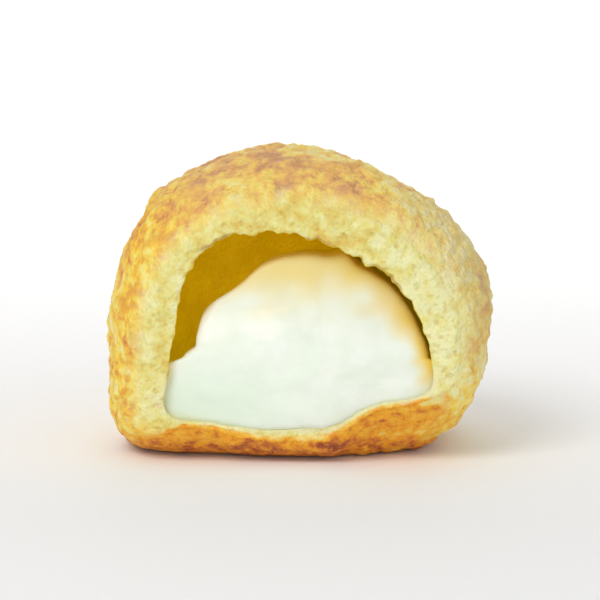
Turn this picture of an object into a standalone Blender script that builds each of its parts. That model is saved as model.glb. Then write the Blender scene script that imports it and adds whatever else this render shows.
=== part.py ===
"""Cheese bread ball (pao de queijo) with its front sliced off, so that the soft cheese inside shows.

Metres, +Z up. The ball stands on its flat baked base, with the cut face towards -Y, and the origin is
the bottom centre of the whole piece. The shapes are worked out in the ball's own frame: x = 0 and y = 0
at the ball's middle and z = 0 at its base. An empty carries that frame and puts the piece on the origin.
"""

import math

import bmesh
import bpy
import numpy as np
from mathutils import Matrix

# The whole ball, as it left the oven
HALF_WIDTH = 0.0277
HALF_DEPTH = 0.0268
HEIGHT = 0.0426
WIDEST_HEIGHT = 0.0130
SINK = 0.0014  # how far the round underside would reach below the baking sheet
PLAN_POWER = 2.0
DOME_POWER = 2.35
FOOT_POWER_LEFT = 5.6
FOOT_POWER_RIGHT = 2.2

# The hollow that the steam and the filling left
WALL_SIDE = 0.0058
WALL_BACK = 0.0050
WALL_TOP = 0.0052
WALL_BASE = 0.0020
HOLLOW_PLAN_POWER = 2.6
HOLLOW_DOME_POWER = 2.3
HOLLOW_FOOT_POWER_LEFT = 5.0
HOLLOW_FOOT_POWER_RIGHT = 4.6

# The knife: how far in front of the middle it cut, and how it squeezed the bread there
CUT_DISTANCE = 0.0130
PRESS_REACH = 0.0120
PRESS_HEIGHT = 0.0160
PRESS_TOP = 0.115
PRESS_SIDE = 0.035
PRESS_BASE = 0.24
PRESS_BASE_LEFT = 0.10  # more at the left, in a hump PRESS_LEFT_SPREAD wide
PRESS_LEFT_PLACE = -0.0150
PRESS_LEFT_SPREAD = 0.0060
PRESS_BASE_RIGHT = 0.25  # more at the right, rising between two distances from the middle
PRESS_RIGHT_FROM = 0.0030
PRESS_RIGHT_TO = 0.0120

# Uneven places: angle round the cut from +X up to +Z and tilt to the back, in degrees, spread, height
LUMPS = (
    (60, 16, 0.25, -0.0028),
    (20, 0, 0.50, -0.0005),
    (128, 5, 0.50, 0.0010),
    (-8, 0, 0.24, -0.0024),
    (172, 30, 0.40, 0.0003),
    (90, 62, 0.40, 0.0007),
    (205, 55, 0.35, -0.0008),
    (-20, 50, 0.35, 0.0008),
    (70, 30, 0.30, 0.0005),
)

# More of the same for the hollow alone
HOLLOW_LUMPS = (
    (118, -25, 0.36, 0.0020),
    (50, -35, 0.45, -0.0012),
    (158, -30, 0.20, -0.0010),
    (212, -38, 0.16, 0.0030),
    (238, -50, 0.20, 0.0010),
)

# Soft puffs that baking raised in the crust
PUFF_COUNT = 70
PUFF_SEED = 11
PUFF_RADIUS = (0.0030, 0.0055)
PUFF_HEIGHT = (0.0002, 0.0006)

# The cheese: its gap to the hollow's wall, its mound as seen from the cut, and its bulging front
CONTACT_GAP = 0.0004
MOUND_RADIUS = 0.0180
MOUND_DENTS = (  # angle and spread in degrees, depth
    (127, 20, 0.0027),
    (162, 9, 0.0014),
    (80, 10, 0.0006),
)
LYING_FROM_LEFT = 172  # below these angles the cheese lies against the wall
LYING_FROM_RIGHT = 8
LYING_BLEND = 14
SLOPE_BACK = 0.20  # the mound falls by this much of each distance behind the cut, down to SAG
SAG = 0.0060
BULGE = 0.0010
BULGE_FALL = 0.0022
BULGE_RADIUS = 0.0140
BULGE_HEIGHT = -0.0030  # the bulge's middle, above the ball's widest level
LEAN_START = 0.0040
LEAN = 0.25
MEETING_SHARPNESS = 15

# Mesh sizes
CRUST_SEGMENTS, CRUST_RINGS = 92, 50
HOLLOW_SEGMENTS, HOLLOW_RINGS = 56, 28
CHEESE_SEGMENTS, CHEESE_RINGS = 60, 34
CUTTER_SIDE = 0.080

COLOURS = {
    "bread_shell": ((0.83, 0.55, 0.19, 1.0), 0.62),
    "cheese_filling": ((0.87, 0.92, 0.76, 1.0), 0.32),
}


def spherical_axis(angle, tilt):
    """Unit vector at an angle round the Y axis from +X to +Z, tilted towards +Y, both in degrees."""
    a, t = math.radians(angle), math.radians(tilt)
    return np.array((math.cos(t) * math.cos(a), math.sin(t), math.cos(t) * math.sin(a)))


def squared_ball(direction, half_width, half_depth, rise, drop, plan_power, dome_power, base_power):
    """Distance from the middle to a squared-off ellipsoid, with other powers below its widest level."""
    x, y, z = np.abs(direction.T)
    plan = ((x / half_width) ** plan_power + (y / half_depth) ** plan_power) ** (1 / plan_power)
    above = direction[:, 2] >= 0
    power = np.where(above, dome_power, base_power)
    height = np.where(above, rise, drop)
    return (plan**power + (z / height) ** power) ** (-1 / power)


def lump_height(direction, lumps):
    """Sum of the uneven places, each a round hill or dent on the sphere of directions."""
    height = np.zeros(len(direction))
    for angle, tilt, spread, peak in lumps:
        height += peak * np.exp((direction @ spherical_axis(angle, tilt) - 1) / spread**2)
    return height


def puff_height(direction):
    """Sum of soft puffs, spread evenly by a golden-angle spiral and varied by a seeded draw."""
    draw = np.random.default_rng(PUFF_SEED)
    golden_angle = math.pi * (3 - math.sqrt(5))
    height = np.zeros(len(direction))
    for i in range(PUFF_COUNT):
        level = 1 - 2 * (i + 0.5) / PUFF_COUNT
        ring = math.sqrt(1 - level**2)
        turn = golden_angle * i
        centre = np.array((ring * math.cos(turn), ring * math.sin(turn), level))
        centre += draw.normal(0, 0.10, 3)
        centre /= np.linalg.norm(centre)
        radius = draw.uniform(*PUFF_RADIUS) / HALF_WIDTH
        peak = draw.uniform(*PUFF_HEIGHT)
        away = np.linalg.norm(direction - centre, axis=1) / radius
        height += peak * np.clip(1 - away**2, 0, 1) ** 2
    return height


def foot_power(direction, left, right):
    """The power of the underside, sharper or rounder towards either side."""
    return left + (right - left) * (direction[:, 0] + 1) / 2


def crust_distance(direction):
    """Distance from the middle to the crust along each direction."""
    body = squared_ball(
        direction,
        HALF_WIDTH,
        HALF_DEPTH,
        HEIGHT - WIDEST_HEIGHT,
        WIDEST_HEIGHT + SINK,
        PLAN_POWER,
        DOME_POWER,
        foot_power(direction, FOOT_POWER_LEFT, FOOT_POWER_RIGHT),
    )
    return body + lump_height(direction, LUMPS) + puff_height(direction)


def hollow_distance(direction):
    """Distance from the middle to the hollow's wall along each direction."""
    body = squared_ball(
        direction,
        HALF_WIDTH - WALL_SIDE,
        HALF_DEPTH - WALL_BACK,
        HEIGHT - WIDEST_HEIGHT - WALL_TOP,
        WIDEST_HEIGHT - WALL_BASE,
        HOLLOW_PLAN_POWER,
        HOLLOW_DOME_POWER,
        foot_power(direction, HOLLOW_FOOT_POWER_LEFT, HOLLOW_FOOT_POWER_RIGHT),
    )
    return body + lump_height(direction, LUMPS) + lump_height(direction, HOLLOW_LUMPS)


def cheese_distance(direction):
    """Distance from the middle to the cheese: the hollow less a gap, its mound and its front."""
    x, y, z = direction.T
    wall = hollow_distance(direction) - CONTACT_GAP

    angle = np.degrees(np.arctan2(z, x))
    upright = np.clip(np.hypot(x, z), 0.05, 1)
    dents = sum(depth * np.exp(-(((angle - at) / spread) ** 2)) for at, spread, depth in MOUND_DENTS)
    sag = np.clip(SLOPE_BACK * (CUT_DISTANCE + MOUND_RADIUS * y / upright), 0, SAG)
    lying_left = np.clip((angle - LYING_FROM_LEFT) / LYING_BLEND, 0, 1)
    lying_right = np.clip((LYING_FROM_RIGHT - angle) / LYING_BLEND, 0, 1)
    mound = (MOUND_RADIUS * (1 + lying_left + lying_right) - dents - sag) / upright

    forward = np.clip(-y, 0.05, 1)
    across, above = CUT_DISTANCE * x / forward, CUT_DISTANCE * z / forward
    from_bulge = np.hypot(across, above - BULGE_HEIGHT) / BULGE_RADIUS
    fall = BULGE_FALL * (1 - np.exp(-(from_bulge**2)))
    lean = LEAN * np.clip(above - LEAN_START, 0, 2 * LEAN_START)
    front = (CUT_DISTANCE + BULGE - fall - lean) / forward

    limits = np.stack((wall, mound, front))
    return (limits**-MEETING_SHARPNESS).sum(axis=0) ** (-1 / MEETING_SHARPNESS)


def press_by_knife(points):
    """Squeezes the bread towards the middle of the cut, less and less up to PRESS_REACH behind it."""
    x, y, z = points.T
    nearness = (1 - np.clip((y + CUT_DISTANCE) / PRESS_REACH, 0, 1)) ** 2
    left = PRESS_BASE_LEFT * np.exp(-(((x - PRESS_LEFT_PLACE) / PRESS_LEFT_SPREAD) ** 2))
    t = np.clip((x - PRESS_RIGHT_FROM) / (PRESS_RIGHT_TO - PRESS_RIGHT_FROM), 0, 1)
    right = PRESS_BASE_RIGHT * t * t * (3 - 2 * t)
    press = np.where(z > PRESS_HEIGHT, PRESS_TOP, PRESS_BASE + left + right)
    pressed = PRESS_HEIGHT + (z - PRESS_HEIGHT) * (1 - press * nearness)
    return np.stack((x * (1 - PRESS_SIDE * nearness), y, pressed), axis=1)


def round_body(name, distance, segments, rings):
    """A UV sphere with its poles on Y, each vertex moved out to distance(direction) from the middle."""
    mesh = bpy.data.meshes.new(name)
    shape = bmesh.new()
    bmesh.ops.create_uvsphere(shape, u_segments=segments, v_segments=rings, radius=1.0)
    bmesh.ops.rotate(shape, verts=shape.verts, matrix=Matrix.Rotation(math.radians(90), 3, "X"))
    shape.to_mesh(mesh)
    shape.free()

    direction = np.array([vertex.co for vertex in mesh.vertices])
    direction /= np.linalg.norm(direction, axis=1, keepdims=True)
    points = direction * distance(direction)[:, None] + (0, 0, WIDEST_HEIGHT)
    mesh.vertices.foreach_set("co", press_by_knife(points).ravel())
    mesh.update()
    mesh.shade_smooth()
    return bpy.data.objects.new(name, mesh)


def cutter_box(name, low_corner):
    """A cube of CUTTER_SIDE with its lowest corner there."""
    mesh = bpy.data.meshes.new(name)
    shape = bmesh.new()
    bmesh.ops.create_cube(shape, size=CUTTER_SIDE)
    bmesh.ops.translate(shape, verts=shape.verts, vec=[c + CUTTER_SIDE / 2 for c in low_corner])
    shape.to_mesh(mesh)
    shape.free()
    return bpy.data.objects.new(name, mesh)


def cut(body, cutter):
    """Takes the cutter out of the body with a live Boolean."""
    cutter.hide_render = True
    cutter.display_type = "WIRE"
    boolean = body.modifiers.new(f"less_{cutter.name}", "BOOLEAN")
    boolean.operation = "DIFFERENCE"
    boolean.solver = "EXACT"
    boolean.object = cutter


def give_material(body):
    """A plain Principled finish in the food's own colour."""
    colour, roughness = COLOURS[body.name]
    material = bpy.data.materials.new(body.name)
    material.use_nodes = True
    shader = material.node_tree.nodes["Principled BSDF"]
    shader.inputs["Base Color"].default_value = colour
    shader.inputs["Roughness"].default_value = roughness
    body.data.materials.append(material)


def piece_corners(bodies):
    """Lowest and highest corner of the finished bodies."""
    graph = bpy.context.evaluated_depsgraph_get()
    corners = np.concatenate([np.array(body.evaluated_get(graph).bound_box) for body in bodies])
    return corners.min(axis=0), corners.max(axis=0)


def build():
    for old in list(bpy.data.objects):
        bpy.data.objects.remove(old, do_unlink=True)

    bread = round_body("bread_shell", crust_distance, CRUST_SEGMENTS, CRUST_RINGS)
    cheese = round_body("cheese_filling", cheese_distance, CHEESE_SEGMENTS, CHEESE_RINGS)
    hollow = round_body("hollow", hollow_distance, HOLLOW_SEGMENTS, HOLLOW_RINGS)
    knife = cutter_box("knife", (-CUTTER_SIDE / 2, -CUT_DISTANCE - CUTTER_SIDE, -CUTTER_SIDE / 4))
    sheet = cutter_box("baking_sheet", (-CUTTER_SIDE / 2, -CUTTER_SIDE / 2, -CUTTER_SIDE))
    for cutter in (hollow, knife, sheet):
        cut(bread, cutter)
    for body in (bread, cheese):
        give_material(body)

    ball_frame = bpy.data.objects.new("ball_frame", None)
    parts = bpy.data.collections.new("pao_de_queijo")
    cutters = bpy.data.collections.new("cutters")
    for collection, members in ((parts, (ball_frame, bread, cheese)), (cutters, (hollow, knife, sheet))):
        bpy.context.scene.collection.children.link(collection)
        for member in members:
            collection.objects.link(member)
            if member is not ball_frame:
                member.parent = ball_frame

    bpy.context.view_layer.update()
    low, high = piece_corners((bread, cheese))
    ball_frame.location = (-(low[0] + high[0]) / 2, -(low[1] + high[1]) / 2, -low[2])
    bpy.context.view_layer.update()


build()
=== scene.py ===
"""A baked cheese bread ball with its front sliced off: mottled crust, pale crumb, white cheese inside.

Every surface is worked out with numpy as a function of two numbers: a turn round the ball's front-to-back
axis, and a tilt away from its back. Metres, +Z up, with the cut towards -Y. The shapes are worked out
round the ball's middle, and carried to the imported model's place at the end.
"""
import itertools
import math

import bpy
import numpy as np
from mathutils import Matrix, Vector


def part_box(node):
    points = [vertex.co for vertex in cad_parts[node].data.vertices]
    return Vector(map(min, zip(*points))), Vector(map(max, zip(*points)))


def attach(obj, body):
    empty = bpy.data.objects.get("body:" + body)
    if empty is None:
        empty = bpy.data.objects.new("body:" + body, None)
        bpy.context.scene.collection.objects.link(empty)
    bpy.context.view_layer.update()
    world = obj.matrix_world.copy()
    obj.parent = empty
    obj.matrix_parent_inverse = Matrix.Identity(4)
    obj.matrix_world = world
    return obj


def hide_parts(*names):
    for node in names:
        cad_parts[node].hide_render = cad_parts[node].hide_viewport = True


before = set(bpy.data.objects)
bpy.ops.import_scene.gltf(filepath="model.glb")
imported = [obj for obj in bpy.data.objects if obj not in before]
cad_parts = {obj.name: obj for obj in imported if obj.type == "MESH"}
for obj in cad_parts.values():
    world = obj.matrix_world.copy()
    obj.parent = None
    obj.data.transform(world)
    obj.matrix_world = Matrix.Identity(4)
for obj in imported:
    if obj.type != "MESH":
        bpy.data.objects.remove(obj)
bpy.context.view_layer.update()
BREAD_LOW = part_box("bread_shell")[0]
MM = 0.001

# The whole ball, as it left the oven
HALF_WIDTH = 27.7 * MM
HALF_DEPTH = 26.8 * MM
HEIGHT = 42.6 * MM
WIDEST_HEIGHT = 13.0 * MM
SINK = 1.4 * MM  # how far the round underside would reach below the baking sheet
SHEET_SOFTNESS = 0.8 * MM  # how softly it flattens there
PLAN_POWER = 2.0
DOME_POWER = 2.35
FOOT_POWER = (5.6, 2.2)  # left, right

# The hollow that the steam and the filling left
WALL_SIDE = 5.8 * MM
WALL_BACK = 5.0 * MM
WALL_TOP = 5.2 * MM
WALL_BASE = 2.0 * MM
HOLLOW_PLAN_POWER = 2.6
HOLLOW_DOME_POWER = 2.3
HOLLOW_FOOT_POWER = (5.0, 4.6)
HOLLOW_WAVES = (4.0 * MM, 0.25 * MM, 65)  # size, height, seed, as in every layer of waves below

# The knife: how far in front of the middle it cut, and how it squeezed the bread there
CUT_DISTANCE = 13.0 * MM
PRESS_REACH = 12.0 * MM
PRESS_HEIGHT = 16.0 * MM
PRESS_BLEND = 2.0 * MM
PRESS_TOP = 0.115
PRESS_SIDE = 0.035
PRESS_BASE = 0.24
PRESS_BASE_LEFT = 0.10  # more at the left, in a hump
PRESS_LEFT_PLACE = -15.0 * MM
PRESS_LEFT_SPREAD = 6.0 * MM
PRESS_BASE_RIGHT = 0.25  # more at the right, rising between two distances from the middle
PRESS_RIGHT = (3.0 * MM, 12.0 * MM)

# Uneven places: turn, tilt towards the back, both in degrees, spread, height
LUMPS = (
    (60, 16, 0.25, -2.8 * MM),
    (20, 0, 0.50, -0.5 * MM),
    (128, 5, 0.50, 1.0 * MM),
    (-8, 0, 0.24, -2.4 * MM),
    (172, 30, 0.40, 0.3 * MM),
    (90, 62, 0.40, 0.7 * MM),
    (205, 55, 0.35, -0.8 * MM),
    (-20, 50, 0.35, 0.8 * MM),
    (70, 30, 0.30, 0.5 * MM),
)
HOLLOW_LUMPS = (
    (118, -25, 0.36, 2.0 * MM),
    (50, -35, 0.45, -1.2 * MM),
    (158, -30, 0.20, -1.0 * MM),
    (212, -38, 0.16, 3.0 * MM),
    (238, -50, 0.20, 1.0 * MM),
)
PUFF_COUNT = 70
PUFF_SEED = 11
PUFF_SHAKE = 0.10
PUFF_RADIUS = (3.0 * MM, 5.5 * MM)
PUFF_HEIGHT = (0.2 * MM, 0.6 * MM)

# The crust's relief
SWELLS = ((7.0 * MM, 0.30 * MM, 21), (3.2 * MM, 0.16 * MM, 22))
COARSE_PEBBLES = (1.8 * MM, 31)  # spacing, seed
FINE_PEBBLES = (1.1 * MM, 41)
PEBBLE_REACH = 0.8  # of their spacing
COARSE_HEIGHT = 0.68 * MM
FINE_HEIGHT = 0.38 * MM
BLISTERS = (6.5 * MM, 51)
BLISTER_HEIGHT = 0.30 * MM
BLISTER_RIM_DEPTH = 0.10 * MM
CRACK_DEPTH = 0.25 * MM
RELIEF_SINK = 0.25 * MM  # lowers the whole relief, so that the ball keeps its size
RELIEF_LOSS = 0.6  # how much of it the knife flattens at the cut
RELIEF_LOSS_REACH = 2.5 * MM

# The crust's tones: patches and orange spots as layers of waves, and the places where it baked darker
PATCHES = ((8.5 * MM, 1.0, 81), (3.2 * MM, 1.0, 82), (1.7 * MM, 0.7, 83))
SPOTS = ((4.6 * MM, 1.0, 84), (1.9 * MM, 0.4, 85))
BAKED = 0.35
BAKED_TOP = 0.07  # more at the top
BAKED_LEFT = 0.06  # more at the left
PATCH_STRENGTH = 0.30
PATCH_STRENGTH_LEFT = 0.16  # at the left, where it is evener
BROWNED = (  # turn, tilt towards the back, spread, amount
    (100, -8, 0.13, 0.42),
    (78, -14, 0.10, 0.26),
    (134, -12, 0.24, 0.16),
    (112, 12, 0.20, 0.22),
    (26, -8, 0.09, 0.26),
    (60, 48, 0.25, 0.25),
    (150, 58, 0.30, 0.25),
    (20, 68, 0.20, 0.20),
    (250, 40, 0.30, 0.20),
)

# The browned foot, where the ball lay on its baking sheet
FOOT_MIDDLE = 0.5 * MM
FOOT_SPAN = (18.0 * MM, 22.0 * MM)  # from its middle, where it fades along the cut
FOOT_DIP = -2.5 * MM  # the place across where it is burnt higher up, and narrower on the cut ring
FOOT_DIP_SPAN = (3.0 * MM, 10.0 * MM)
FOOT_HEIGHT = 4.8 * MM
FOOT_RISE = 6.7 * MM  # how much higher it reaches at the cut
FOOT_FADE = 3.0 * MM
FOOT_EDGE = ((4.2 * MM, 1.6 * MM, 86), (1.8 * MM, 0.8 * MM, 87))
FOOT_SPILL = (3.0 * MM, 5.0 * MM, 88)
FOOT_BROWN = 0.44
FOOT_STREAK = 0.16  # more at the cut, towards its ends
FOOT_BURNT = 0.34  # more in its lowest part
BURNT_HEIGHT = 3.4 * MM
BURNT_RISE = 1.8 * MM  # how much higher at the cut, in the dip
BURNT_FADE = 2.8 * MM
STRIP_SHARE = 0.74  # of the cut ring's width, which the foot covers in the dip
STRIP_SHARE_ENDS = 0.06  # more towards its ends
STRIP_EDGE = (2.2 * MM, 1.6 * MM, 91)
STRIP_BROWN = 0.48
STRIP_BROWN_ENDS = 0.12  # more towards its ends

# The cheese: its mound as seen from the cut, its slope to the back, and its bulging front
CHEESE_OVERLAP = 0.4 * MM  # how far it is pressed into the crumb
MOUND_RADIUS = 18.0 * MM
MOUND_DENTS = (  # turn, spread, depth
    (129, 18, 1.8 * MM),
    (161, 8, 1.1 * MM),
    (167, 4, 1.1 * MM),
    (71, 5, -1.2 * MM),
    (40, 26, -0.6 * MM),
    (8, 9, -0.8 * MM),
)
LYING_FROM_LEFT = 172  # below these turns the cheese lies against the wall
LYING_FROM_RIGHT = 8
LYING_BLEND = 14
LYING_FALL = 750.0  # degrees by which both turns move down for each metre behind the cut
SLOPE_BACK = 0.20
SAG = 6.0 * MM
BULGE = 1.0 * MM
BULGE_FALL = 2.2 * MM
BULGE_RADIUS = 14.0 * MM
BULGE_HEIGHT = -3.0 * MM
LEAN = 2.0 * MM  # how far the front leans back, between two heights above the middle
LEAN_RANGE = (2.5 * MM, 13.5 * MM)
MEETING_SHARPNESS = 22
CHEESE_BLUR = (4.0 * MM, 2.0 * MM, 104)  # of the edges between its tones
CHEESE_FOLDS = ((6.5 * MM, 0.26 * MM, 101), (2.9 * MM, 0.12 * MM, 102), (1.2 * MM, 0.035 * MM, 103))

# The cut ring: its round outer edge, its porous crumb and its torn lip
EDGE_RADIUS = 2.4 * MM
EDGE_SHARE = 0.45  # of the ring's width, which the round edge never passes
CRUMB_WAVES = ((3.4 * MM, 0.22 * MM, 76), (1.5 * MM, 0.12 * MM, 72), (0.8 * MM, 0.05 * MM, 73))
PORES = (1.5 * MM, 71)
PORE_DEPTH = 0.25 * MM
CRUMB_EDGE = (2.4 * MM, 0.9 * MM, 92)  # where the crust gives way to it
LIP_RADIUS = 0.6 * MM
# The ragged edge of the lip's painted shade: size, height, seed
LIP_SHADE_EDGE = (1.5 * MM, 0.5 * MM, 93)
TEETH = ((3.0 * MM, 0.75 * MM, 61), (1.5 * MM, 0.42 * MM, 62), (0.8 * MM, 0.22 * MM, 63))
TEETH_DEPTH = 0.9 * MM  # how far behind the cut they fade
SHRED = (62, 5, 0.8 * MM)  # crumb that hangs onto the cheese: turn, spread, length

# Grid sizes
BREAD_COLUMNS = 496
CRUST_ROWS = 138
RING_ROWS = 30
HOLLOW_ROWS = 33
CHEESE_COLUMNS = 360
CHEESE_ROWS = 220


# Noise


def cell_number(cells, seed):
    """A number from 0 to 1 for each cell: its whole coordinates times large numbers, mixed by shifts."""
    x, y, z = (cells[..., k].astype(np.int64).astype(np.uint32) for k in range(3))
    mixed = x * np.uint32(0x8DA6B343) + y * np.uint32(0xD8163841) + z * np.uint32(0xCB1AB31F)
    mixed = mixed + np.uint32(seed * 0x9E3779B9 % 2**32)
    for shift, factor in ((15, 0x2C1B3C6D), (12, 0x297A2D39)):
        mixed = (mixed ^ (mixed >> np.uint32(shift))) * np.uint32(factor)
    mixed = mixed ^ (mixed >> np.uint32(15))
    return mixed / 2.0**32


def cell_vector(cells, seed):
    """Three numbers from 0 to 1 for each cell."""
    return np.stack([cell_number(cells, seed + k) for k in range(3)], axis=-1)


def waves(points, size, seed):
    """Gradient noise, about -1 to 1: a random slope at each corner, blended by 6t^5 - 15t^4 + 10t^3."""
    scaled = points / size
    cell = np.floor(scaled)
    inside = scaled - cell
    blend = inside**3 * (inside * (inside * 6 - 15) + 10)
    total = np.zeros(points.shape[:-1])
    for corner in itertools.product((0, 1), repeat=3):
        slope = cell_vector(cell + corner, seed) * 2 - 1
        weight = np.prod(np.where(corner, blend, 1 - blend), axis=-1)
        total += weight * (slope * (inside - corner)).sum(axis=-1)
    return total * 1.7


def layered(points, *layers):
    """Sum of waves, each layer a size, a height and a seed."""
    return sum(height * waves(points, size, seed) for size, height, seed in layers)


def shaken(points, size, amount, seed):
    """The points, each moved by up to about that amount by three waves of that size."""
    return points + amount * np.stack([waves(points, size, seed + k) for k in range(3)], axis=-1)


def scattered(points, spacing, seed):
    """Cellular noise, from one random point in each cube of that spacing.

    Gives the distances to the nearest and the next of them, in spacings, and the nearest one's own number.
    """
    scaled = points / spacing
    cell = np.floor(scaled)
    first = np.full(points.shape[:-1], 9.0)
    second = first.copy()
    own = np.zeros_like(first)
    for shift in itertools.product((-1, 0, 1), repeat=3):
        there = cell + shift
        away = np.linalg.norm(scaled - there - cell_vector(there, seed), axis=-1)
        nearer = away < first
        second = np.where(nearer, first, np.minimum(second, away))
        own = np.where(nearer, cell_number(there, seed + 3), own)
        first = np.where(nearer, away, first)
    return first, second, own


def rise(value, low, high):
    """0 below low, 1 above high, and 3t^2 - 2t^3 between them."""
    t = np.clip((value - low) / (high - low), 0, 1)
    return t * t * (3 - 2 * t)


def fade(value, low, high):
    """1 below low, 0 above high, and 1 - 3t^2 + 2t^3 between them."""
    return rise(-value, -high, -low)


# The ball's shapes, each a distance from its middle along a direction


def directions(turn, tilt):
    """Unit vectors at a tilt from the back, +Y, and a turn round that axis from +X up to +Z."""
    across, up = np.sin(tilt) * np.cos(turn), np.sin(tilt) * np.sin(turn)
    return np.stack((across, np.cos(tilt) + 0 * turn, up), axis=-1)


def lump_axis(turn, tilt):
    """Unit vector of an uneven place, from its turn and its tilt towards the back in degrees."""
    a, t = math.radians(turn), math.radians(tilt)
    return np.array((math.cos(t) * math.cos(a), math.sin(t), math.cos(t) * math.sin(a)))


def lump_height(direction, lumps):
    """Sum of hills and dents, each peak times exp((cosine of the angle from its axis - 1) / spread^2)."""
    total = np.zeros(direction.shape[:-1])
    for turn, tilt, spread, peak in lumps:
        total += peak * np.exp((direction @ lump_axis(turn, tilt) - 1) / spread**2)
    return total


def puff_height(direction):
    """Sum of puffs, each peak times (1 - r^2)^2, on a golden-angle spiral that a seeded draw shakes."""
    draw = np.random.default_rng(PUFF_SEED)
    golden_angle = math.pi * (3 - math.sqrt(5))
    total = np.zeros(direction.shape[:-1])
    for i in range(PUFF_COUNT):
        level = 1 - 2 * (i + 0.5) / PUFF_COUNT
        ring = math.sqrt(1 - level**2)
        turn = golden_angle * i
        centre = np.array((ring * math.cos(turn), ring * math.sin(turn), level))
        centre += draw.normal(0, PUFF_SHAKE, 3)
        centre /= np.linalg.norm(centre)
        radius = draw.uniform(*PUFF_RADIUS) / HALF_WIDTH
        peak = draw.uniform(*PUFF_HEIGHT)
        away = np.linalg.norm(direction - centre, axis=-1) / radius
        total += peak * np.clip(1 - away**2, 0, 1) ** 2
    return total


def squared_ball(direction, half_width, half_depth, top, base, plan_power, dome_power, foot_power):
    """Squared-off ellipsoid, (plan^n + (z / height)^n)^(-1/n); n and the height differ above and below.

    The plan is (x^m + y^m)^(1/m) over its half width and depth. Below, n goes from left to right.
    """
    x, y, z = np.moveaxis(np.abs(direction), -1, 0)
    plan = ((x / half_width) ** plan_power + (y / half_depth) ** plan_power) ** (1 / plan_power)
    left, right = foot_power
    foot = left + (right - left) * (direction[..., 0] + 1) / 2
    above = direction[..., 2] >= 0
    power = np.where(above, dome_power, foot)
    return (plan**power + (z / np.where(above, top, base)) ** power) ** (-1 / power)


def crust_distance(direction):
    """The crust: squared ball, uneven places and puffs."""
    top, base = HEIGHT - WIDEST_HEIGHT, WIDEST_HEIGHT + SINK
    powers = PLAN_POWER, DOME_POWER, FOOT_POWER
    ball = squared_ball(direction, HALF_WIDTH, HALF_DEPTH, top, base, *powers)
    return ball + lump_height(direction, LUMPS) + puff_height(direction)


def hollow_distance(direction):
    """The hollow's wall: a squared ball one wall smaller, with the crust's uneven places and its own."""
    half_width, half_depth = HALF_WIDTH - WALL_SIDE, HALF_DEPTH - WALL_BACK
    top, base = HEIGHT - WIDEST_HEIGHT - WALL_TOP, WIDEST_HEIGHT - WALL_BASE
    powers = HOLLOW_PLAN_POWER, HOLLOW_DOME_POWER, HOLLOW_FOOT_POWER
    ball = squared_ball(direction, half_width, half_depth, top, base, *powers)
    return ball + lump_height(direction, LUMPS + HOLLOW_LUMPS)


def cheese_mound(x, y, z):
    """The mound: a cylinder of MOUND_RADIUS round the front-to-back axis, dented, and sagging to the back.

    Low at either side it grows to twice its radius, so that the wall holds it there instead.
    """
    turn = np.degrees(np.arctan2(z, x))
    upright = np.clip(np.hypot(x, z), 0.05, 1)
    dents = sum(depth * np.exp(-(((turn - at) / spread) ** 2)) for at, spread, depth in MOUND_DENTS)
    behind = np.clip(CUT_DISTANCE + MOUND_RADIUS * y / upright, 0, 2 * CUT_DISTANCE)
    sag = np.clip(SLOPE_BACK * behind, 0, SAG)
    round_turn = np.where(turn < -90, turn + 360, turn)
    left_end = LYING_FROM_LEFT + LYING_FALL * behind
    right_end = LYING_FROM_RIGHT - LYING_FALL * behind
    lying = rise(round_turn, left_end, left_end + LYING_BLEND)
    lying = lying + fade(round_turn, right_end - LYING_BLEND, right_end)
    return (MOUND_RADIUS * (1 + lying) - dents - sag) / upright


def cheese_front(x, y, z):
    """The front: a plane a little outside the cut, less a bell-shaped fall round its bulge, and a lean.

    The fall is 1 - exp(-r^2) times BULGE_FALL, and the lean grows from 0 to LEAN over LEAN_RANGE upwards.
    """
    forward = np.clip(-y, 0.05, 1)
    across, above = CUT_DISTANCE * x / forward, CUT_DISTANCE * z / forward
    from_bulge = np.hypot(across, above - BULGE_HEIGHT) / BULGE_RADIUS
    fall = BULGE_FALL * (1 - np.exp(-(from_bulge**2)))
    return (CUT_DISTANCE + BULGE - fall - LEAN * rise(above, *LEAN_RANGE)) / forward


def cheese_distance(direction):
    """The cheese: a soft minimum, (a^-n + b^-n + c^-n)^(-1/n), of the hollow's wall, mound and front."""
    x, y, z = np.moveaxis(direction, -1, 0)
    wall = hollow_distance(direction) + CHEESE_OVERLAP
    limits = np.stack((wall, cheese_mound(x, y, z), cheese_front(x, y, z)))
    return (limits**-MEETING_SHARPNESS).sum(axis=0) ** (-1 / MEETING_SHARPNESS)


def press_by_knife(points):
    """Squeezes the bread at the cut: z moves towards PRESS_HEIGHT and x towards the middle.

    Each moves by its own share times (1 - distance behind the cut / PRESS_REACH)^2.
    """
    x, y, z = np.moveaxis(points, -1, 0)
    nearness = (1 - np.clip((y + CUT_DISTANCE) / PRESS_REACH, 0, 1)) ** 2
    left = PRESS_BASE_LEFT * np.exp(-(((x - PRESS_LEFT_PLACE) / PRESS_LEFT_SPREAD) ** 2))
    below = PRESS_BASE + left + PRESS_BASE_RIGHT * rise(x, *PRESS_RIGHT)
    upper = rise(z, PRESS_HEIGHT - PRESS_BLEND, PRESS_HEIGHT + PRESS_BLEND)
    press = below + (PRESS_TOP - below) * upper
    pressed = PRESS_HEIGHT + (z - PRESS_HEIGHT) * (1 - press * nearness)
    return np.stack((x * (1 - PRESS_SIDE * nearness), y, pressed), axis=-1)


def rim_tilt(distance, turn):
    """Tilt where a surface crosses the cut, by halving: there distance * cos(tilt) is -CUT_DISTANCE."""
    near, far = np.full(turn.shape, math.pi / 2), np.full(turn.shape, 3.0)
    for _ in range(32):
        middle = (near + far) / 2
        direction = directions(turn, middle)
        behind = direction[..., 1] * distance(direction) > -CUT_DISTANCE
        near, far = np.where(behind, middle, near), np.where(behind, far, middle)
    return near


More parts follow.
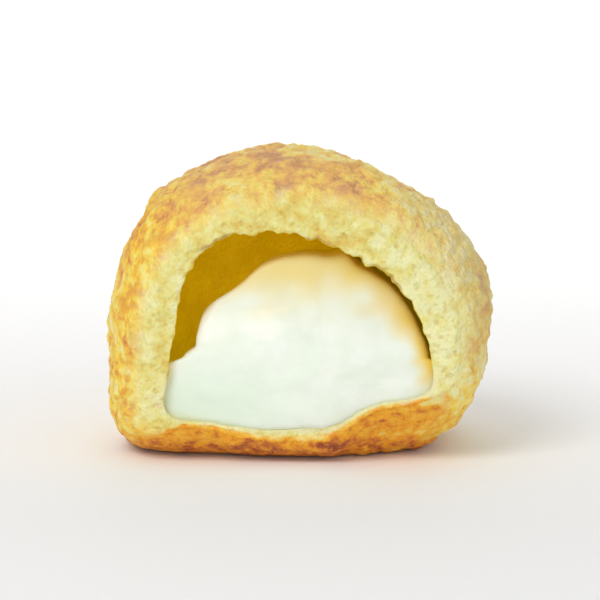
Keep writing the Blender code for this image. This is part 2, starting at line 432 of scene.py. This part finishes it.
def settle(points):
    """Flattens what would reach below the baking sheet: z becomes (z + sqrt(z^2 + softness^2)) / 2."""
    x, y, z = np.moveaxis(points, -1, 0)
    return np.stack((x, y, (z + np.sqrt(z * z + SHEET_SOFTNESS**2)) / 2), axis=-1)


def fillet(distance, radius):
    """Slide along a face and drop below it that round its edge, at a distance from that edge.

    With a = 45 degrees times (1 - distance / radius), the point slides to radius (1 - sin a) from the edge
    and drops by radius (1 - cos a), so the edge itself goes to the middle of a quarter arc.
    """
    a = math.pi / 4 * np.clip(1 - distance / radius, 0, 1)
    return np.where(a > 0, radius * (1 - np.sin(a)) - distance, 0), radius * (1 - np.cos(a))


# Meshes


def closed_grid(name, grid, masks):
    """Mesh of a grid of points: each row is a closed loop, and the first and last rows shrink to poles."""
    rows, columns = grid.shape[:2]
    first_pole, last_pole = grid[0].mean(axis=0)[None], grid[-1].mean(axis=0)[None]
    points = np.concatenate((first_pole, grid[1:-1].reshape(-1, 3), last_pole))
    here = np.arange(columns)
    after = np.roll(here, -1)
    start = 1 + np.arange(rows - 3)[:, None] * columns
    quads = (start + here, start + after, start + columns + after, start + columns + here)
    quads = np.stack(quads, axis=-1).reshape(-1, 4)
    last_row, last = 1 + (rows - 3) * columns, len(points) - 1
    first_cap = np.stack((np.zeros_like(here), 1 + after, 1 + here), axis=-1)
    last_cap = np.stack((np.full_like(here, last), last_row + here, last_row + after), axis=-1)

    # Faces outwards: turned round where their normals point to the middle on the whole
    corner = [points[quads[:, k]] for k in range(4)]
    normal = np.cross(corner[2] - corner[0], corner[3] - corner[1])
    if (normal * (corner[0] - points.mean(axis=0))).sum() < 0:
        quads, first_cap, last_cap = quads[:, ::-1], first_cap[:, ::-1], last_cap[:, ::-1]

    mesh = bpy.data.meshes.new(name)
    mesh.from_pydata(points.tolist(), [], quads.tolist() + first_cap.tolist() + last_cap.tolist())
    mesh.shade_smooth()
    for mask, values in masks.items():
        flat = np.concatenate((values[0].mean()[None], values[1:-1].ravel(), values[-1].mean()[None]))
        mesh.attributes.new(mask, "FLOAT", "POINT").data.foreach_set("value", flat.astype(np.float32))
    piece = bpy.data.objects.new(name, mesh)
    bpy.context.scene.collection.objects.link(piece)
    return piece


# Bread


def pebbles(points, spacing, seed):
    """Pebbles 1 - (r / reach)^2, each times its own share from 0.4 to 1, and each one's own number."""
    near, _, own = scattered(points, spacing, seed)
    return np.clip(1 - (near / PEBBLE_REACH) ** 2, 0, 1) * (0.4 + 0.6 * own), own


def crust_relief(points):
    """Height of the crust's relief over points of the smooth ball, with its tint and blister masks, and a
    mask of its pebbles, for painted highlight on their tops and painted shade between them.

    Swells and pebbles of two sizes each, blisters (1 - r^2)^1.5 with a sunken rim, and thin cracks where
    the nearest and the next of the blisters' scattered points are equally far.
    """
    loose = shaken(points, 2.6 * MM, 0.5 * MM, 24)
    pebbly = 0.45 + 0.55 * rise(waves(points, 10 * MM, 23), -0.25, 0.3)
    coarse, coarse_tint = pebbles(loose, *COARSE_PEBBLES)
    fine, fine_tint = pebbles(loose, *FINE_PEBBLES)

    near, after, own = scattered(loose, *BLISTERS)
    radius = 0.15 + 0.13 * own
    active = rise(own, 0.5, 0.55)
    dome = active * np.clip(1 - (near / radius) ** 2, 0, 1) ** 1.5
    rim = active * np.exp(-(((near - radius) / 0.06) ** 2))
    crack = np.exp(-(((after - near) / 0.035) ** 2)) * rise(waves(points, 9 * MM, 55), 0.0, 0.35)

    height = layered(points, *SWELLS) + pebbly * (COARSE_HEIGHT * coarse + FINE_HEIGHT * fine)
    height = height + BLISTER_HEIGHT * dome - BLISTER_RIM_DEPTH * rim
    height = height - CRACK_DEPTH * crack - RELIEF_SINK
    # Mask of the pebbles: their tops get painted highlight and the hollows between them painted shade
    pebble_light_and_shade = np.clip(0.9 * coarse + 0.6 * fine, 0, 1)
    tint = 0.6 * coarse_tint + 0.4 * fine_tint
    return height, {"pebble_light_and_shade": pebble_light_and_shade, "tint": tint, "blister": rim + 0.5 * dome}


def foot_span(across, spill=0):
    """1 along the browned foot, fading past its ends, where it spills over by that much."""
    return fade(np.abs(across - FOOT_MIDDLE) - spill, *FOOT_SPAN)


def foot_ends(across):
    """0 in the foot's dip, and 1 towards its ends."""
    return rise(np.abs(across - FOOT_DIP), *FOOT_DIP_SPAN)


def crust_foot(pressed, smooth, behind):
    """How far the foot is browned: it fades out upwards over a wavy edge, and is darkest at its lowest.

    It reaches FOOT_HEIGHT up, plus FOOT_RISE near the cut, and its burnt part reaches higher in the dip.
    """
    x, _, z = np.moveaxis(pressed, -1, 0)
    ends = foot_ends(x)
    front = fade(behind, 1 * MM, 9 * MM) * foot_span(x, layered(smooth, FOOT_SPILL))
    streak = front * fade(behind, 1 * MM, 5 * MM) * ends
    level = z + layered(smooth, *FOOT_EDGE)
    reach = FOOT_HEIGHT + FOOT_RISE * front
    burnt_reach = BURNT_HEIGHT + BURNT_RISE * front * (1 - 0.7 * ends)
    darkened = fade(level, burnt_reach - BURNT_FADE, burnt_reach)
    return fade(level, reach - FOOT_FADE, reach) * (FOOT_BROWN + FOOT_STREAK * streak + FOOT_BURNT * darkened)


def crust_tones(smooth):
    """How far the crust is baked, its orange spots and its dull side, each from 0 to about 1.

    It is baked by a base, by patches of waves and by the browned places. The right and the top are dull.
    """
    up, side = smooth[..., 2] / (HEIGHT - WIDEST_HEIGHT), smooth[..., 0] / HALF_WIDTH
    direction = smooth / np.linalg.norm(smooth, axis=-1, keepdims=True)
    right, top = rise(side, 0.0, 0.75) * rise(up, -0.4, 0.5), rise(up, 0.6, 0.95)
    left = rise(-side, 0.5, 0.9)
    dull = np.maximum(right, 0.6 * top)
    strength = PATCH_STRENGTH + (PATCH_STRENGTH_LEFT - PATCH_STRENGTH) * left
    baked = BAKED + BAKED_TOP * top + BAKED_LEFT * left + strength * layered(smooth, *PATCHES)
    baked = baked + lump_height(direction, BROWNED)
    spots = rise(layered(smooth, *SPOTS), 0.16, 0.55) * (1 - 0.55 * dull)
    return {"baked": baked, "spots": spots, "dull": dull}


def bread_crust(turn):
    """The crust from the back to the cut, in rows that gather there, with masks and distances behind it.

    The relief stands on the smooth ball, along each direction, and the knife presses it all.
    """
    s = np.linspace(0, 1, CRUST_ROWS)[:, None]
    direction = directions(turn, rim_tilt(crust_distance, turn) * (1.25 * s - 0.25 * s**2))
    smooth = direction * crust_distance(direction)[..., None]
    behind = smooth[..., 1] + CUT_DISTANCE
    relief, masks = crust_relief(smooth)
    relief *= 1 - RELIEF_LOSS * fade(behind, 0, RELIEF_LOSS_REACH)
    crust = press_by_knife(smooth + direction * relief[..., None] + (0, 0, WIDEST_HEIGHT))
    masks |= crust_tones(smooth) | {"foot": crust_foot(crust, smooth, behind)}
    return crust, masks, behind


def bread_hollow(turn):
    """The hollow from the cut to its back, with low waves that start behind the cut."""
    s = np.linspace(1, 0, HOLLOW_ROWS + 1)[:, None]
    direction = directions(turn, rim_tilt(hollow_distance, turn) * s)
    smooth = direction * hollow_distance(direction)[..., None]
    relief = layered(smooth, HOLLOW_WAVES) * rise(1 - s, 0.05, 0.3)
    return press_by_knife(smooth + direction * relief[..., None] + (0, 0, WIDEST_HEIGHT))


def crumb_relief(ring, from_outer):
    """Depth of the crumb behind the cut, as layers of waves and pores, and the pores as a mask.

    A pore is 1 - (r / radius)^2 round some of the scattered points. All of it is calm at the outer edge.
    """
    near, _, own = scattered(shaken(ring, 1.5 * MM, 0.3 * MM, 74), *PORES)
    calm = rise(from_outer, 0.2 * MM, 1.4 * MM)
    pores = calm * np.clip(1 - (near / (0.18 + 0.22 * own)) ** 2, 0, 1) * rise(own, 0.45, 0.55)
    return calm * layered(ring, *CRUMB_WAVES) + PORE_DEPTH * pores, pores


def lip_teeth(turn, lip):
    """How far the lip is torn back from the opening: waves, most at its top, less the hanging shred."""
    torn = 0.25 + 0.75 * rise(np.sin(turn), 0.1, 0.75)
    place, spread, length = SHRED
    shred = length * np.exp(-(((np.degrees(turn) - place) / spread) ** 2))
    return torn * layered(lip, *TEETH) - shred


def ring_foot(turn, across, edge_foot, ragged, from_outer, width):
    """The browned foot on the ring: the crust's own, fading over the edge, or a ragged strip if greater.

    The strip covers more of the ring's width towards the foot's ends, and stops short of the lip.
    """
    bottom = fade(np.sin(turn), -0.5, -0.25) * foot_span(across)
    ends = foot_ends(across)
    inside = rise(width - from_outer, 0.2 * MM, (1.3 - 0.5 * ends) * MM)
    reach = bottom * ((STRIP_SHARE + STRIP_SHARE_ENDS * ends) * width + ragged * inside)
    strip = bottom * inside * fade(from_outer - reach, -1.7 * MM, 2.5 * MM)
    strip = strip * (STRIP_BROWN + STRIP_BROWN_ENDS * ends)
    return np.maximum(strip, edge_foot * fade(from_outer, 0, 2 * MM) * bottom)


def whole(crust_part, ring_part, hollow_part):
    """One mask of the bread's whole grid, from a number or an array for each of its parts."""
    parts = ((crust_part, CRUST_ROWS), (ring_part, RING_ROWS), (hollow_part, HOLLOW_ROWS))
    return np.concatenate([np.broadcast_to(part, (rows, BREAD_COLUMNS)) for part, rows in parts])


def bread():
    """Crust, cut ring and hollow as one closed grid: from the back to the cut, across it, and back inside.

    The ring runs straight from the crust's rim to the hollow's. A fillet rounds the edge that it shares
    with the crust, and another its lip where that hangs free of the cheese. The teeth move the lip
    outwards, fading by t^5 across the ring and by a bell curve into the hollow.
    """
    turn = np.linspace(0, 2 * math.pi, BREAD_COLUMNS, endpoint=False)
    crust, masks, behind = bread_crust(turn)
    hollow = bread_hollow(turn)
    outer, inner, hollow = crust[-1].copy(), hollow[0], hollow[1:]
    lip = inner * (1, 0, 1)

    # Ring and round outer edge
    width = np.linalg.norm(inner - outer, axis=-1)
    inward = (inner - outer) / width[:, None]
    radius = np.minimum(EDGE_RADIUS, EDGE_SHARE * width)
    slide, drop = fillet(crust[..., 1] - outer[:, 1], radius)
    crust[..., 1] += slide
    crust += inward * drop[..., None]
    t = np.linspace(0, 1, RING_ROWS + 1)[1:, None]
    from_outer, from_inner = t * width, (1 - t) * width
    slide, drop = fillet(from_outer, radius)
    ring = outer + inward * (from_outer + slide)[..., None]

    # Crumb and torn lip
    depth, pores = crumb_relief(ring, from_outer)
    free = rise(np.sin(turn), -0.25, 0.05)
    ring[..., 1] += drop + depth + free * fillet(from_inner, LIP_RADIUS)[1]
    teeth = lip_teeth(turn, lip)
    ring -= inward * (teeth * t**5)[..., None]
    into_hollow = np.exp(-(((hollow[..., 1] + CUT_DISTANCE) / TEETH_DEPTH) ** 2))
    hollow -= inward * (teeth * into_hollow)[..., None]

    # Where the crust gives way to crumb, over a wavy edge, and how pale that is: most at the right
    ring_crumb = rise(from_outer + layered(ring, CRUMB_EDGE), -2.8 * MM, 1.4 * MM)
    edge_crumb = rise(-behind + layered(ring[0], CRUMB_EDGE), -2.8 * MM, 1.4 * MM)
    pale = 0.62 + 0.3 * rise(np.cos(turn), 0.2, 0.8) - 0.22 * rise(np.sin(turn), 0.75, 1.0)

    # Painted shade: the lip is darkened in places where it hangs free, and creamy where it touches the
    # cheese
    darkened = fade(from_inner - layered(ring, LIP_SHADE_EDGE), 0.1 * MM, 0.5 * MM)
    darkened = darkened * free * rise(waves(lip, 5.0 * MM, 94), -0.3, 0.1)
    ragged = layered(ring, STRIP_EDGE)
    creamy = fade(from_inner - ragged, -0.1 * MM, 1.0 * MM) * (1 - free)

    # The glossy skin of the hollow, which light hardly reaches at the right
    skin = np.maximum(free, rise(hollow[..., 1] + CUT_DISTANCE, 0.3 * MM, 2.5 * MM))
    lit = 1 - 0.65 * rise(np.cos(turn), 0.2, 0.6)

    foot = masks.pop("foot")
    over_edge = fade(from_outer, 0, 2 * MM)
    painted = {name: whole(mask, mask[-1] * over_edge, 0) for name, mask in masks.items()}
    painted["foot"] = whole(foot, ring_foot(turn, outer[:, 0], foot[-1], ragged, from_outer, width), 0)
    painted["crumb"] = whole(edge_crumb, ring_crumb, 1)
    painted["pore"] = whole(0, pores, 0)
    painted["pale"] = whole(pale, pale, 0)
    # The lip's painted shade
    painted["lip"] = whole(0, darkened, 0)
    painted["creamy"] = whole(0, creamy, 0)
    painted["hollow"] = whole(0, fade(from_inner, -0.02 * MM, 0.12 * MM) * free, skin)
    painted["lit"] = whole(1, 1, lit)
    return settle(np.concatenate((crust, ring, hollow))), painted


# Cheese


def cheese():
    """The filling as one closed grid with low soft folds, and masks of its golden part and of painted
    light and shade.

    It is peach at its top as painted reflected light, golden at the right within a reach of the wall,
    and cooler low on the left as painted shade.
    """
    turn = np.linspace(0, 2 * math.pi, CHEESE_COLUMNS, endpoint=False)
    direction = directions(turn, np.linspace(0, math.pi, CHEESE_ROWS)[:, None])
    smooth = direction * cheese_distance(direction)[..., None]
    folded = smooth + direction * layered(smooth, *CHEESE_FOLDS)[..., None]
    grid = press_by_knife(folded + (0, 0, WIDEST_HEIGHT))

    x, _, z = np.moveaxis(grid, -1, 0)
    blur = layered(smooth, CHEESE_BLUR)
    rim = directions(turn, rim_tilt(hollow_distance, turn))
    rim = rim * hollow_distance(rim)[..., None]
    from_wall = np.hypot(rim[:, 0], rim[:, 2]) - np.hypot(smooth[..., 0], smooth[..., 2])
    reach = (3.5 + 4.0 * rise(np.sin(turn), 0.2, 0.6)) * MM
    golden = fade(from_wall - 0.6 * blur, 0.8 * MM, reach) * rise(np.cos(turn), 0.0, 0.5)
    golden = golden * rise(z, 10 * MM, 14 * MM)
    # Painted shade: cooler and a little darker low on the left
    shade_tint = fade(z, 8 * MM, 17 * MM) * fade(x, -12 * MM, 4 * MM)
    # Painted reflected light from the yellow bread: peach at the top
    return grid, {"reflected_light": rise(z + blur, 20 * MM, 28 * MM), "golden": golden, "shade_tint": shade_tint}


# Finishes


def paint(red, green, blue):
    """Linear colour, with alpha, from the 0 to 255 values that a screen shows."""
    shown = np.array((red, green, blue)) / 255
    linear = np.where(shown <= 0.04045, shown / 12.92, ((shown + 0.055) / 1.055) ** 2.4)
    return (*linear.tolist(), 1.0)


class Finish:
    """A node material: each method adds one node and gives back its output."""

    def __init__(self, name):
        self.material = bpy.data.materials.new(name)
        self.material.use_nodes = True
        self.tree = self.material.node_tree
        self.shader = self.tree.nodes["Principled BSDF"]
        self.place = self.add("TexCoord").outputs["Object"]

    def add(self, kind, inputs=(), **settings):
        """A node of that kind, with its settings, and each input either linked or set."""
        node = self.tree.nodes.new("ShaderNode" + kind)
        for key, value in settings.items():
            setattr(node, key, value)
        for key, value in dict(inputs).items():
            self.feed(node.inputs[key], value)
        return node

    def feed(self, socket, value):
        """Links an output to the socket, or sets the value on it."""
        if isinstance(value, bpy.types.NodeSocket):
            self.tree.links.new(value, socket)
        else:
            socket.default_value = value

    def mask(self, name):
        """One of the piece's own painted masks."""
        return self.add("Attribute", attribute_name=name).outputs["Fac"]

    def noise(self, size, detail=3.0, roughness=0.55):
        """Noise whose waves are about that size in metres."""
        inputs = {"Vector": self.place, "Scale": 1 / size, "Detail": detail, "Roughness": roughness}
        return self.add("TexNoise", inputs).outputs["Fac"]

    def grains(self, size):
        """Distance from the nearest of scattered points about that far apart."""
        return self.add("TexVoronoi", {"Vector": self.place, "Scale": 1 / size}).outputs["Distance"]

    def math(self, operation, a, b=0.0):
        """One arithmetic step on two values."""
        return self.add("Math", {0: a, 1: b}, operation=operation).outputs[0]

    def times(self, a, b):
        """Product of two values."""
        return self.math("MULTIPLY", a, b)

    def total(self, *terms):
        """Sum of (value, weight) terms."""
        result = 0.0
        for value, weight in terms:
            node = self.add("Math", {0: value, 1: weight, 2: result}, operation="MULTIPLY_ADD")
            result = node.outputs[0]
        return result

    def spread(self, value, low, high, to_low=0.0, to_high=1.0):
        """Maps low to high onto to_low to to_high, smoothly and clamped."""
        inputs = {"Value": value, "From Min": low, "From Max": high}
        inputs |= {"To Min": to_low, "To Max": to_high}
        return self.add("MapRange", inputs, interpolation_type="SMOOTHSTEP").outputs["Result"]

    def ramp(self, value, stops):
        """Colour ramp of (place, colour) stops."""
        node = self.add("ValToRGB", {"Fac": value})
        elements = node.color_ramp.elements
        while len(elements) < len(stops):
            elements.new(0.5)
        for element, (place, colour) in zip(elements, stops):
            element.position = place
            element.color = colour
        return node.outputs["Color"]

    def mix(self, amount, a, b):
        """Mix of two colours, from a to b."""
        node = self.add("Mix", data_type="RGBA", clamp_result=False)
        for socket, value in zip((node.inputs[0], node.inputs[6], node.inputs[7]), (amount, a, b)):
            self.feed(socket, value)
        return node.outputs[2]

    def bump(self, height, distance, strength):
        """Bump of that height in metres."""
        inputs = {"Height": height, "Distance": distance, "Strength": strength}
        return self.add("Bump", inputs).outputs["Normal"]

    def surface(self, **inputs):
        """Sets the shader's inputs, by name with _ for a space."""
        for key, value in inputs.items():
            self.feed(self.shader.inputs[key.replace("_", " ")], value)
        return self.material


def crust_colour(f, mottle, fine):
    """Pale yellow to brown by how far it baked, less on pebble tops as painted highlight and more between
    them as painted shade, then golden spots, blisters, dull side and foot.
    """
    # Pebble tops painted paler as highlight, and their valleys more orange as shade
    pebble_light_and_shade, tint = f.mask("pebble_light_and_shade"), f.mask("tint")
    baked = f.total((f.mask("baked"), 1.0), (mottle, 0.8), (fine, 0.7), (pebble_light_and_shade, -0.50), (tint, 0.60))
    crust = f.ramp(
        f.math("SUBTRACT", baked, 0.77),
        (
            (0.00, paint(250, 240, 176)),
            (0.22, paint(252, 230, 118)),
            (0.42, paint(252, 214, 66)),
            (0.62, paint(244, 184, 62)),
            (0.82, paint(224, 146, 74)),
            (1.00, paint(196, 112, 66)),
        ),
    )
    spot = f.times(f.mask("spots"), f.spread(mottle, 0.35, 0.62, 0.15, 0.75))
    crust = f.mix(spot, crust, paint(234, 164, 56))
    blister = f.times(f.mask("blister"), f.spread(fine, 0.3, 0.6, 0.1, 0.5))
    crust = f.mix(blister, crust, paint(222, 144, 56))
    crust = f.mix(f.times(f.mask("dull"), 0.55), crust, paint(222, 204, 150))
    foot = f.total((f.mask("foot"), 1.0), (mottle, 1.0), (fine, 0.5), (tint, 0.25))
    browned = f.ramp(
        f.math("SUBTRACT", foot, 0.88),
        (
            (0.15, paint(246, 206, 96)),
            (0.38, paint(246, 190, 58)),
            (0.62, paint(240, 164, 26)),
            (0.82, paint(206, 118, 44)),
            (1.00, paint(156, 78, 38)),
        ),
    )
    return f.mix(f.spread(f.total((f.mask("foot"), 1.0), (mottle, 0.8)), 0.42, 0.92), crust, browned)


def crumb_colour(f):
    """Pale crumb, mottled by noise, and darker in its pores as painted shade."""
    crumb = f.ramp(
        f.math("SUBTRACT", f.total((f.noise(2.2 * MM, 4.0), 1.4), (f.mask("pale"), 0.5)), 0.45),
        (
            (0.25, paint(222, 192, 92)),
            (0.50, paint(229, 219, 132)),
            (0.75, paint(238, 236, 178)),
        ),
    )
    # Painted shade in the pores
    return f.mix(f.times(f.mask("pore"), 0.45), crumb, paint(206, 176, 78))


def skin_colour(f):
    """The hollow's amber skin, mottled by noise and brown where little light reaches it."""
    skin = f.mix(f.spread(f.noise(4.0 * MM, 3.0), 0.35, 0.65), paint(232, 182, 20), paint(250, 206, 34))
    return f.mix(f.mask("lit"), paint(160, 108, 16), skin)


def bread_finish():
    """Crust, then crumb where it isn't browned, then the creamy lip and the painted shade on the lip, then
    the hollow's skin.

    A faint glow in the skin stands for light that comes through the thin bread.
    """
    f = Finish("baked_bread")
    mottle, fine, speckle = f.noise(1.5 * MM, 3.0, 0.6), f.noise(0.6 * MM, 3.0), f.noise(0.3 * MM, 2.0)
    crumbly = f.times(f.mask("crumb"), f.spread(f.mask("foot"), 0.05, 0.52, 1.0, 0.0))
    colour = f.mix(crumbly, crust_colour(f, mottle, fine), crumb_colour(f))
    colour = f.mix(f.times(f.mask("creamy"), 0.6), colour, paint(238, 226, 180))
    # Painted shade under the lip where it hangs free
    colour = f.mix(f.times(f.mask("lip"), 0.7), colour, paint(150, 98, 8))
    colour = f.mix(f.mask("hollow"), colour, skin_colour(f))
    grains = f.spread(f.grains(0.7 * MM), 0.0, 0.7, 1.0, 0.0)
    height = f.total((grains, 0.6), (fine, 0.5), (speckle, 0.25))
    return f.surface(
        Base_Color=colour,
        Roughness=f.spread(mottle, 0.3, 0.7, 0.42, 0.62),
        Normal=f.bump(height, 0.26 * MM, 0.9),
        Subsurface_Weight=f.spread(f.mask("crumb"), 0.0, 1.0, 0.08, 0.25),
        Subsurface_Radius=(1.6, 0.8, 0.3),
        Subsurface_Scale=1.0 * MM,
        Specular_IOR_Level=0.4,
        Emission_Color=paint(240, 214, 0),
        Emission_Strength=f.times(f.times(f.mask("hollow"), f.mask("lit")), 0.165),
    )


def cheese_finish():
    """Soft white cheese: painted shade low on the left, painted reflected light at its top, golden at its
    right side, moist.
    """
    f = Finish("soft_cheese")
    tone = f.noise(4.0 * MM, 2.0)
    white = f.mix(f.spread(tone, 0.3, 0.7), paint(240, 247, 236), paint(234, 243, 228))
    # Painted shade: cooler low on the left
    colour = f.mix(f.times(f.mask("shade_tint"), 0.75), white, paint(224, 240, 222))
    # Painted reflected light: peach at the top
    colour = f.mix(f.times(f.mask("reflected_light"), 0.95), colour, paint(236, 216, 136))
    colour = f.mix(f.mask("golden"), colour, paint(240, 210, 98))
    return f.surface(
        Base_Color=colour,
        Roughness=f.spread(tone, 0.3, 0.7, 0.34, 0.48),
        Normal=f.bump(f.noise(0.9 * MM, 3.0), 0.05 * MM, 0.4),
        Subsurface_Weight=0.25,
        Subsurface_Radius=(1.6, 1.5, 1.2),
        Subsurface_Scale=1.0 * MM,
        Specular_IOR_Level=0.4,
        Coat_Weight=0.08,
        Coat_Roughness=0.25,
    )


# The two pieces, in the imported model's place: the same middle across, the same cut, resting on the floor

bread_grid, bread_masks = bread()
cheese_grid, cheese_masks = cheese()
bread_x, bread_z = bread_grid[..., 0], bread_grid[..., 2]
OFFSET = np.array((-(bread_x.min() + bread_x.max()) / 2, BREAD_LOW[1] + CUT_DISTANCE, -bread_z.min()))
pieces = (
    ("bread", bread_grid, bread_masks, "bread_shell", "bread", bread_finish()),
    ("cheese", cheese_grid, cheese_masks, "cheese_filling", "soft_cheese", cheese_finish()),
)
for name, grid, masks, node, slot, finish in pieces:
    piece = closed_grid(name, grid + OFFSET, masks)
    piece.data.materials.append(finish)
    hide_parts(node)
    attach(piece, "root")


# The studio

MIDDLE = (0.0, -0.002, 0.0205)
LIGHTS = (  # name, place, target, size, power, colour
    ("key", (-0.28, -0.42, 0.55), MIDDLE, 0.35, 2.1, (1.0, 0.98, 0.95)),
    ("fill", (0.45, -0.45, 0.30), MIDDLE, 0.5, 0.35, (0.97, 0.98, 1.0)),
    ("front", (0.02, -0.75, 0.12), MIDDLE, 0.4, 0.8, (1.0, 1.0, 1.0)),
    ("backdrop", (0.0, 0.3, 0.6), (0.0, 0.9, 0.25), 0.8, 3.0, (1.0, 1.0, 1.0)),
)
SKY_STRENGTH = 0.48
AZIMUTH = math.radians(2)
ELEVATION = math.radians(10)
CAMERA_DISTANCE = 0.60
FOCAL_LENGTH = 250  # millimetres


def sweep():
    """Pale floor that curves up into a backdrop, along X: a straight line, a quarter circle and a line."""
    half_width, front, back, bend, top = 1.2, -1.2, 0.9, 0.35, 1.4
    angle = np.linspace(0, math.pi / 2, 24)
    y = np.concatenate(([front], back - bend + bend * np.sin(angle), [back]))
    z = np.concatenate(([0.0], bend - bend * np.cos(angle), [top]))
    x = np.array((-half_width, half_width))
    points = [np.broadcast_to(a, (2, len(y))) for a in (x[:, None], y, z)]
    points = np.stack(points, axis=-1).reshape(-1, 3)
    k = np.arange(len(y) - 1)
    faces = np.stack((k, k + len(y), k + len(y) + 1, k + 1), axis=-1)
    mesh = bpy.data.meshes.new("floor")
    mesh.from_pydata(points.tolist(), [], faces.tolist())
    mesh.shade_smooth()
    floor = bpy.data.objects.new("floor", mesh)
    bpy.context.scene.collection.objects.link(floor)
    finish = Finish("pale_floor").surface(Base_Color=paint(250, 250, 250), Roughness=0.7)
    floor.data.materials.append(finish)


def aim(thing, place, target):
    """Puts a light or camera at a place, with its -Z towards the target."""
    thing.location = place
    thing.rotation_euler = (Vector(target) - Vector(place)).to_track_quat("-Z", "Y").to_euler()


def area_light(name, place, target, size, power, colour):
    """Square soft light at a place, turned to face a target."""
    lamp = bpy.data.lights.new(name, "AREA")
    lamp.size, lamp.energy, lamp.color = size, power, colour
    light = bpy.data.objects.new(name, lamp)
    light.visible_camera = False
    bpy.context.scene.collection.objects.link(light)
    aim(light, place, target)


def white_sky():
    """Even white light from all round."""
    world = bpy.data.worlds.new("studio")
    world.use_nodes = True
    background = world.node_tree.nodes["Background"]
    background.inputs["Color"].default_value = (1.0, 1.0, 1.0, 1.0)
    background.inputs["Strength"].default_value = SKY_STRENGTH
    bpy.context.scene.world = world


def photograph_camera():
    """A long lens that looks at the ball's middle, from a little to the right of straight on and above."""
    camera = bpy.data.objects.new("camera", bpy.data.cameras.new("camera"))
    bpy.context.scene.collection.objects.link(camera)
    camera.data.lens = FOCAL_LENGTH
    camera.data.clip_start, camera.data.clip_end = 0.01, 10
    level = math.cos(ELEVATION)
    backward = (math.sin(AZIMUTH) * level, -math.cos(AZIMUTH) * level, math.sin(ELEVATION))
    aim(camera, (np.array(MIDDLE) + CAMERA_DISTANCE * np.array(backward)).tolist(), MIDDLE)
    bpy.context.scene.camera = camera


sweep()
for light in LIGHTS:
    area_light(*light)
white_sky()
photograph_camera()
bpy.context.scene.view_settings.view_transform = "Standard"
